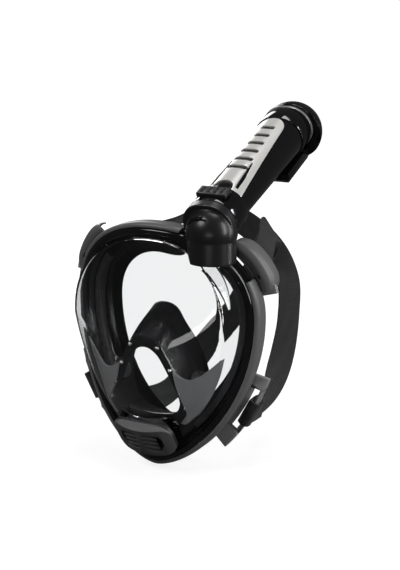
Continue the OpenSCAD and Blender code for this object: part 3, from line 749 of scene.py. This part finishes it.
UP_SLOT, UP_D = math.radians(33.25), 12.4 * MM
LOW_SLOT, LOW_D = math.radians(-36), 13 * MM
STRAP_OUT = (11 * MM, 23 * MM)  # a strap leaves its slot between these depths
UP_WIDTH = Vector((-0.5, 0, 0.866))     # the webbing's width runs this way in a slot
LOW_WIDTH = Vector((0.48, 0, 0.877))


def slot_pt(a, d, y, side):
    p = rim_pt(a, d, y)
    return Vector((p.x * side, p.y, p.z))


def route(points):
    """A strap's way [across, behind the rim plane, up] in metres."""
    return [Vector(p) * MM + Vector((0, RIM_Y, 0)) for p in points]


# Each strap's way round the head, and the way that its width runs at each of those points
LEFT_WAY = [(70.5, 58, -68), (67, 95, -60), (64, 125, -38), (62, 142, -5), (56, 151, 28), (32, 157, 58),
            (0, 158, 78), (-26, 151, 84), (-50, 118, 77), (-65, 80, 73)]
LEFT_WIDTH = [(0.35, 0.1, 0.9), (-0.3, 0.1, 0.85), (-0.55, -0.6, 0.4), (-0.45, -0.89, 0),
              (-0.52, -0.82, -0.1), (-0.5, -0.3, -0.7), (-0.2, 0, -0.98), (-0.4, 0.3, -0.8),
              (-0.75, 0.35, -0.5), (-0.75, 0.2, -0.65)]
RIGHT_WAY = [(-68, 60, -80), (-62, 100, -96), (-54, 135, -90), (-32, 160, -50), (0, 158, -10), (26, 144, 33),
             (38, 137, 55), (54, 121, 76), (64, 90, 86), (76, 58, 80)]
RIGHT_WIDTH = [(-0.45, 0, 0.89), (-0.3, 0, 0.95), (-0.2, -0.1, 0.97), (-0.45, 0, 0.89), (-0.75, 0, 0.65),
               (-0.85, -0.1, 0.5), (-0.8, -0.1, 0.6), (-0.6, -0.1, 0.8), (-0.5, -0.1, 0.86), (-0.45, 0, 0.89)]
STRAP_STEPS = 14
FOLD_WAY = ((0.2, 13), (1.2, 11.2), (3.5, 10.4), (6.6, 10.8), (8.4, 13.2), (8.6, 18), (6, 25))
FOLD_ON = [STRAP_STEPS + 6 + 6 * i for i in range(3)]   # the strap's points that it lies on
FOLD_LIFT = 2.3             # how far outside the strap it lies, in mm
FOLD_T = 1.8 * MM
FOLD_STEPS = 5
FOLD_LENGTH = 0.07          # sets the spacing of its weave


def strap_mesh(name, way, widths, steps, thick):
    """Webbing swept along a way; returns the piece, its length, its points and its widths."""
    c = curve(way, steps)
    w = curve(widths, steps)
    last = len(c) - 1
    half_w, half_t = sizes().strap_w / 2, thick / 2
    corners = [(-half_w, -half_t, 0), (half_w, -half_t, 0), (half_w, half_t, 0), (-half_w, half_t, 0)]
    line = rounded(corners, half_t * 0.9, 4)
    count = len(line)

    def place(u, v):
        i = round(u * last)
        t = (c[min(i + 1, last)] - c[max(i - 1, 0)]).normalized()
        across = (w[i] - t * w[i].dot(t)).normalized()
        out = t.cross(across)
        p = line[round(v * count) % count]
        return c[i] + across * p.x + out * p.y

    obj = laid_grid(name, last, count, place)
    edit_all(obj, merge, close_holes, outside)
    length = sum((c[i + 1] - c[i]).length for i in range(last))
    return obj, length, c, w


def fold(name, side, width, c, w, mat):
    """The webbing's end: it loops round the lower clip's outer rail and lies back on the strap."""
    n = rim_dir(LOW_SLOT)
    n.x *= side
    base = slot_pt(LOW_SLOT, 0, 0, side)
    y = Vector((0, 1, 0))
    way = [base + n * (LOW_D + o * MM) + y * (b * MM) for o, b in FOLD_WAY]
    way += [c[i] + n * FOLD_LIFT * MM for i in FOLD_ON]
    widths = [width] * len(FOLD_WAY) + [w[i] for i in FOLD_ON]
    obj = strap_mesh(name, way, widths, FOLD_STEPS, FOLD_T)[0]
    finish_piece(obj, mat, "mask", "strap_black", angle=50)


class SNORKEL_OT_straps(Piece, bpy.types.Operator):
    """Two crossed head straps of woven webbing, with their lower ends folded through the clips"""
    bl_idname = "snorkel.straps"
    bl_label = "Straps"

    def make(self):
        s = sizes()
        for name, node_name, side, mid, turn in (("outer", "strap_b", 1, LEFT_WAY, LEFT_WIDTH),
                                                 ("inner", "strap_a", -1, RIGHT_WAY, RIGHT_WIDTH)):
            low = [slot_pt(LOW_SLOT, LOW_D, y, side) for y in STRAP_OUT]
            up = [slot_pt(UP_SLOT, UP_D, y, -side) for y in reversed(STRAP_OUT)]
            low_dir = Vector((LOW_WIDTH.x * side, 0, LOW_WIDTH.z))
            up_dir = Vector((UP_WIDTH.x * -side, 0, UP_WIDTH.z)) * -side
            widths = [low_dir] * 2 + [Vector(p) for p in turn] + [up_dir] * 2
            obj, length, c, w = strap_mesh("webbing_" + name, low + route(mid) + up, widths,
                                           STRAP_STEPS, s.strap_t)
            perimeter = 2 * (s.strap_w + s.strap_t)
            mat = webbing("webbing_" + name, colours().strap, length, perimeter, s.weave)
            finish_piece(obj, mat, "mask", "strap_black", node_name, angle=50)
            tail = webbing("webbing_end_" + name, colours().strap, FOLD_LENGTH, perimeter, s.weave)
            fold("webbing_fold_low_" + name, side, low_dir, c, w, tail)


FLAP_LINE = [(7.6, 12, 0), (11, 9.8, 0), (15, 9.4, 0), (18.6, 11.6, 0), (20.6, 16, 0), (21, 22, 0),
             (20, 28, 0)]
FLAP_SPAN = (math.radians(16), math.radians(51))
FLAP_ROOT = (8 * MM, 11.4 * MM)     # outwards and backwards
FLAP_DROP = 0.3             # how far its two ends draw in towards the root
FLAP_T = 1.4 * MM


class SNORKEL_OT_clips(Piece, bpy.types.Operator):
    """Moulded clips behind the band that the straps thread through"""
    bl_idname = "snorkel.clips"
    bl_label = "Strap clips"

    def make(self):
        for level in ("upper", "lower"):
            for side in ("left", "right"):
                node_name = "clip_%s_%s" % (level, side)
                obj = bevelled_copy(node_name, "strap_" + node_name, 0.8 * MM)
                finish_piece(obj, FINISH["clip_grey"], "mask", "clip_grey", node_name, angle=30)
        for side in ("left", "right"):
            finish_piece(self.flap(side), FINISH["band_grey"], "mask", "band_grey", angle=50)

    @staticmethod
    def flap(side):
        """Smooth flap in front of an upper clip, over the webbing's end."""
        line = curve(mm(FLAP_LINE), 4)
        last = len(line) - 1

        def place(u, v):
            p = line[round(v * last)]
            reach = 1 - FLAP_DROP * abs(2 * u - 1) ** 5
            d = lerp(FLAP_ROOT[0], p.x, reach)
            out = rim_pt(lerp(*FLAP_SPAN, u), d, lerp(FLAP_ROOT[1], p.y, reach))
            return Vector((out.x if side == "left" else -out.x, out.y, out.z))

        obj = laid_grid("clip_flap_" + side, 36, last, place)
        modify(obj, "SOLIDIFY", thickness=FLAP_T, offset=0)
        edit_all(obj, outside)
        bevel(obj, 0.5 * MM, 2, 45)
        return obj


# ---- chin vent --------------------------------------------------------------------------

class SNORKEL_OT_vent(Piece, bpy.types.Operator):
    """Slotted vent cover under the chin, over the purge valve"""
    bl_idname = "snorkel.vent"
    bl_label = "Chin vent"

    def make(self):
        cover = bevelled_copy("vent_cover", "vent_grille", 0.6 * MM)
        finish_piece(cover, FINISH["vent_grey"], "mask", "vent_grey", "vent_cover", angle=30)
        body = bevelled_copy("vent_housing", "vent_body", 0.4 * MM)
        finish_piece(body, FINISH["duct_black"], "mask", "duct_black", "vent_housing", angle=30)


# ---- socket and snorkel -----------------------------------------------------------------

ELBOW_VOXEL = 0.6 * MM
ELBOW_ROUNDS = 4            # rounds of smoothing


class SNORKEL_OT_elbow(Piece, bpy.types.Operator):
    """Socket elbow on the rim, blended into one soft moulding"""
    bl_idname = "snorkel.elbow"
    bl_label = "Socket elbow"

    def make(self):
        obj = blended_copy("socket_elbow", "elbow_moulding", ELBOW_VOXEL, ELBOW_ROUNDS)
        finish_piece(obj, FINISH["elbow_charcoal"], "mask", "elbow_charcoal", "socket_elbow", angle=60)


TUBE_HALF_W = 19 * MM
TUBE_R = 16.5 * MM
TUBE_FLARE = 3.2 * MM
TUBE_WALL = 1.8 * MM


def tube_half(s):
    """Half width and half depth of the tube at height s."""
    f = TUBE_FLARE * (s - TUBE_FROM) / (TUBE_TO - TUBE_FROM)
    return TUBE_HALF_W + f, TUBE_R + f


def oval_pt(a, s):
    """Point of the tube's oval outline at angle a and height s."""
    w, r = tube_half(s)
    side = math.copysign(w - r, math.cos(a)) if abs(math.cos(a)) > 1e-6 else 0
    return Vector((side + r * math.cos(a), r * math.sin(a), s))


class SNORKEL_OT_tube(Piece, bpy.types.Operator):
    """Gloss oval tube that widens towards the dry top"""
    bl_idname = "snorkel.tube"
    bl_label = "Breathing tube"

    def make(self):
        obj = laid_grid("tube_shell", 96, 24,
                        lambda u, v: oval_pt(u * math.tau, lerp(TUBE_FROM, TUBE_TO, v)))
        edit_all(obj, merge, outside)
        modify(obj, "SOLIDIFY", thickness=TUBE_WALL, offset=-1)
        obj.data.transform(AT_TUBE)
        finish_piece(obj, FINISH["gloss_black"], "snorkel", "gloss_black", "tube", angle=50)


PLATE_FROM = 22.6 * MM
PLATE_TO = 139 * MM
PLATE_GAP = 0.1 * MM        # between the tube and the plate
FOOT_HALF = 17.6 * MM       # half width of the plate at its foot
TOP_HALF = 12.4 * MM
PLATE_CUT = 20 * MM         # depth of the recess and slot cuts, right through the plate
ARCH_CUT = 30 * MM
ARCH_R = 9 * MM
ARCH_RISE = 8.5 * MM
ARCH_FROM = 4 * MM
ARCH_FOOT = -3 * MM
ARCH_STEPS = 16
RECESS = ((10, 6), (13.2, 5), (13, 20), (10.4, 44), (8.8, 44), (9.2, 20))   # in mm
SLOTS = 6
SLOT_FROM = 34              # level of the lowest slot above the plate's foot, in mm
SLOT_PITCH = 13.2           # in mm
SLOT_HALF = (9.2, 6.6)      # half width of the lowest and of the highest slot, in mm
SLOT_HIGH = 5.4 * MM
SLOT_CORNER = 2 * MM


def plate_half(s):
    """Half width of the plate at height s: it tapers, and ends in a half round."""
    width = lerp(FOOT_HALF, TOP_HALF, (s - PLATE_FROM) / (PLATE_TO - PLATE_FROM))
    over = (s - (PLATE_TO - width)) / width
    return width * math.sqrt(max(1 - over * over, 0.0)) if over > 0 else width


class SNORKEL_OT_plate(Piece, bpy.types.Operator):
    """Bright plate on the tube's front, with an arch at its foot, side recesses and cross slots"""
    bl_idname = "snorkel.plate"
    bl_label = "Face plate"

    def make(self):
        def place(u, v):
            s = lerp(PLATE_FROM, PLATE_TO, 1 - (1 - v) ** 1.5)
            x = lerp(-1, 1, u) * plate_half(s)
            w, r = tube_half(s)
            beside = max(abs(x) - (w - r), 0)
            grown = r + PLATE_GAP + sizes().plate_t
            return Vector((x, -math.sqrt(grown * grown - beside * beside), s))

        obj = laid_grid("bright_plate", 28, 90, place)
        edit_all(obj, merge, outside)
        modify(obj, "SOLIDIFY", thickness=sizes().plate_t, offset=1 if self.faces_back(obj) else -1)
        at_foot = Matrix.Translation((0, -TUBE_R, PLATE_FROM)) @ Matrix.Rotation(math.pi / 2, 4, "X")
        turns = [math.pi * i / ARCH_STEPS for i in range(ARCH_STEPS + 1)]
        arch = [(ARCH_R * math.cos(t), ARCH_FROM + ARCH_RISE * math.sin(t)) for t in turns]
        arch += [(-ARCH_R, ARCH_FOOT), (ARCH_R, ARCH_FOOT)]
        carve(obj, prism("arch", arch, ARCH_CUT, at_foot))
        for side in (-1, 1):
            recess = [(side * x * MM, z * MM) for x, z in RECESS]
            carve(obj, prism("recess", recess, PLATE_CUT, at_foot))
        for i in range(SLOTS):
            half = lerp(*SLOT_HALF, i / (SLOTS - 1)) * MM
            z = (SLOT_FROM + SLOT_PITCH * i) * MM
            slot = [(x, y + z) for x, y in round_rect(2 * half, SLOT_HIGH, SLOT_CORNER)]
            carve(obj, prism("slot", slot, PLATE_CUT, at_foot))
        bevel(obj, 0.35 * MM, 2, 35)
        obj.data.transform(AT_TUBE)
        finish_piece(obj, FINISH["plate_silver"], "snorkel", "plate_silver", "face_plate", angle=30)

    @staticmethod
    def faces_back(obj):
        """True if the sheet's normals point towards the tube."""
        return sum(p.normal.y * p.area for p in obj.data.polygons) > 0


class SNORKEL_OT_collar(Piece, bpy.types.Operator):
    """Collar with its plug, and the slotted latch button in it"""
    bl_idname = "snorkel.collar"
    bl_label = "Collar and latch"

    def make(self):
        collar = bevelled_copy("collar", "collar_moulding", 1.0 * MM, 40, 3)
        finish_piece(collar, FINISH["gloss_black"], "snorkel", "gloss_black", "collar", angle=30)
        button = bevelled_copy("latch_button", "latch_key", 0.5 * MM)
        finish_piece(button, FINISH["duct_black"], "button", "duct_black", "latch_button", angle=30)


class SNORKEL_OT_dry_top(Piece, bpy.types.Operator):
    """Dry top: base, trim ring, domed cap with its insert, and the slotted inlet housing"""
    bl_idname = "snorkel.dry_top"
    bl_label = "Dry top"

    def make(self):
        for node_name, name, finish, width in (
                ("dry_top_base", "dry_top_body", "gloss_black", 0.8),
                ("trim_ring", "trim_band", "trim_grey", 0.4),
                ("dome_cap", "domed_cap", "gloss_black", 1.2),
                ("dome_insert", "cap_insert", "trim_grey", 0.3),
                ("inlet_housing", "inlet_hood", "gloss_black", 0.7)):
            obj = bevelled_copy(node_name, name, width * MM)
            finish_piece(obj, FINISH[finish], "snorkel", finish, node_name, angle=30)


class SNORKEL_OT_inner_parts(Piece, bpy.types.Operator):
    """Finishes for the pieces whose frame shape is right: valves, pins, cage and float"""
    bl_idname = "snorkel.inner_parts"
    bl_label = "Inner pieces"

    def make(self):
        slots = {p["node"]: p["material_slot"] for p in frame["record"]["subparts"]}
        for name, obj in frame["nodes"].items():
            if name in KEPT_NODES:
                for i in range(len(obj.material_slots)):
                    obj.material_slots[i].material = FINISH[slots[name]]


KEPT_NODES = ("air_channel", "pocket_pins", "purge_valve", "valve_seat_left", "valve_seat_right",
              "inhale_valve_left", "inhale_valve_right", "plug_seal", "tube_divider", "float_cage",
              "float_valve")


# ---- stage ------------------------------------------------------------------------------

CAMERA_DIR = Vector((0.4543, -0.8544, 0.2521))
CAMERA_AT = Vector((0.4828, -0.8638, 0.2978))
CAMERA_LENS = 73.9
SOFTBOXES = (
    ("key_light", (-0.9, -1.3, 1.5), (0.8, 0.8), 15),
    ("side_light", (1.75, -0.1, 0.6), (0.3, 1.4), 14),
    ("top_light", (0.1, 0.3, 1.9), (1.1, 0.6), 10),
    ("back_light", (-1.2, 1.3, 0.8), (0.5, 1.1), 7),
    ("edge_strip", (1.5, 0.75, 0.35), (0.12, 1.5), 9),
    ("low_front_light", (0.5, -1.8, -0.05), (0.8, 0.25), 2),
)
AMBIENT = 0.05              # strength of the surroundings for light that has bounced
FLOOR_DROP = 2 * MM
FLOOR_SIZE = 60             # in metres


def pale_floor():
    """Pale floor with a painted glow: its emission is weakest near the object and grows to full white away from
    it, where the lamps' light falls off.
    """
    mat = shader("pale_floor", (0.3, 0.3, 0.3), 0.9, Emission_Color=(1, 1, 1, 1))
    place = node(mat, "ShaderNodeTexCoord")
    away = node(mat, "ShaderNodeVectorMath", {"Vector": (place, "Object")}, operation="LENGTH")
    # painted light: the floor glows more the farther it lies from the object, standing in for lamp light there
    glow = node(mat, "ShaderNodeMapRange", {"Value": (away, "Value")},
                From_Min=0.15, From_Max=0.9, To_Min=0.84, To_Max=1.0)
    link(mat, glow, "Result", "Emission Strength")
    return mat


def add_lights():
    for name, place, size, watts in SOFTBOXES:
        bpy.ops.object.light_add(type="AREA", location=place)
        light = bpy.context.object
        light.name = name
        light.data.shape = "RECTANGLE"
        light.data.size, light.data.size_y = size
        light.data.energy = watts
        light.rotation_euler = Vector(place).to_track_quat("Z", "Y").to_euler()


def white_room():
    """Surroundings that are white where seen directly or through the lens, and dim elsewhere."""
    world = bpy.data.worlds.new("white_room")
    world.use_nodes = True
    tree = world.node_tree
    dim = tree.nodes["Background"]
    dim.inputs["Color"].default_value = (1, 1, 1, 1)
    dim.inputs["Strength"].default_value = AMBIENT
    white = tree.nodes.new("ShaderNodeBackground")
    white.inputs["Color"].default_value = (1, 1, 1, 1)
    path = tree.nodes.new("ShaderNodeLightPath")
    seen = math_node(tree, "MAXIMUM", (path, "Is Camera Ray"), (path, "Is Transmission Ray"))
    bounced = math_node(tree, "ADD", (path, "Glossy Depth"), (path, "Diffuse Depth"))
    direct = math_node(tree, "SUBTRACT", (seen, "Value"), (bounced, "Value"))
    direct.use_clamp = True
    mix = tree.nodes.new("ShaderNodeMixShader")
    tree.links.new(direct.outputs["Value"], mix.inputs["Fac"])
    tree.links.new(dim.outputs["Background"], mix.inputs[1])
    tree.links.new(white.outputs["Background"], mix.inputs[2])
    tree.links.new(mix.outputs["Shader"], tree.nodes["World Output"].inputs["Surface"])
    return world


class SNORKEL_OT_stage(Piece, bpy.types.Operator):
    """Pale floor, soft studio light, white surroundings and the camera"""
    bl_idname = "snorkel.stage"
    bl_label = "Stage"

    def make(self):
        scene = bpy.context.scene
        bpy.ops.object.select_all(action="DESELECT")
        bpy.ops.mesh.primitive_plane_add(size=FLOOR_SIZE, location=(0, 0, CAD_BOX[0][2] - FLOOR_DROP))
        floor = bpy.context.object
        floor.name = "floor"
        floor.data.materials.append(pale_floor())
        floor.visible_glossy = False
        floor.visible_transmission = False
        floor.visible_diffuse = False
        add_lights()
        scene.world = white_room()
        scene.view_settings.view_transform = "Standard"
        bpy.ops.object.camera_add(location=CAMERA_AT)
        camera = bpy.context.object
        camera.name = "camera"
        camera.data.lens = CAMERA_LENS
        camera.rotation_euler = CAMERA_DIR.to_track_quat("Z", "Y").to_euler()
        scene.camera = camera


OPERATORS = (SNORKEL_OT_stage, SNORKEL_OT_lens, SNORKEL_OT_rim, SNORKEL_OT_ducts, SNORKEL_OT_skirt,
             SNORKEL_OT_pocket, SNORKEL_OT_wings, SNORKEL_OT_straps, SNORKEL_OT_clips, SNORKEL_OT_vent,
             SNORKEL_OT_elbow, SNORKEL_OT_tube, SNORKEL_OT_plate, SNORKEL_OT_collar, SNORKEL_OT_dry_top,
             SNORKEL_OT_inner_parts)


class SNORKEL_PT_panel(bpy.types.Panel):
    """Lists the sizes, colours and pieces of the snorkel"""
    bl_idname = "SNORKEL_PT_panel"
    bl_label = "Full Face Snorkel"
    bl_space_type = "VIEW_3D"
    bl_region_type = "UI"
    bl_category = "Snorkel"

    def draw(self, context):
        for group in (context.scene.snorkel_sizes, context.scene.snorkel_colours):
            for name in group.__annotations__:
                self.layout.prop(group, name)
        for op in OPERATORS:
            self.layout.operator(op.bl_idname)


CLASSES = (SnorkelSizes, SnorkelColours, *OPERATORS, SNORKEL_PT_panel)


def register():
    for cls in CLASSES:
        bpy.utils.register_class(cls)
    bpy.types.Scene.snorkel_sizes = PointerProperty(type=SnorkelSizes)
    bpy.types.Scene.snorkel_colours = PointerProperty(type=SnorkelColours)


def unregister():
    del bpy.types.Scene.snorkel_colours
    del bpy.types.Scene.snorkel_sizes
    for cls in reversed(CLASSES):
        bpy.utils.unregister_class(cls)


def main():
    register()
    FINISH.update(make_finishes())
    for op in OPERATORS:
        category, name = op.bl_idname.split(".")
        getattr(getattr(bpy.ops, category), name)()
    bpy.context.view_layer.update()


if __name__ == "__main__":
    main()
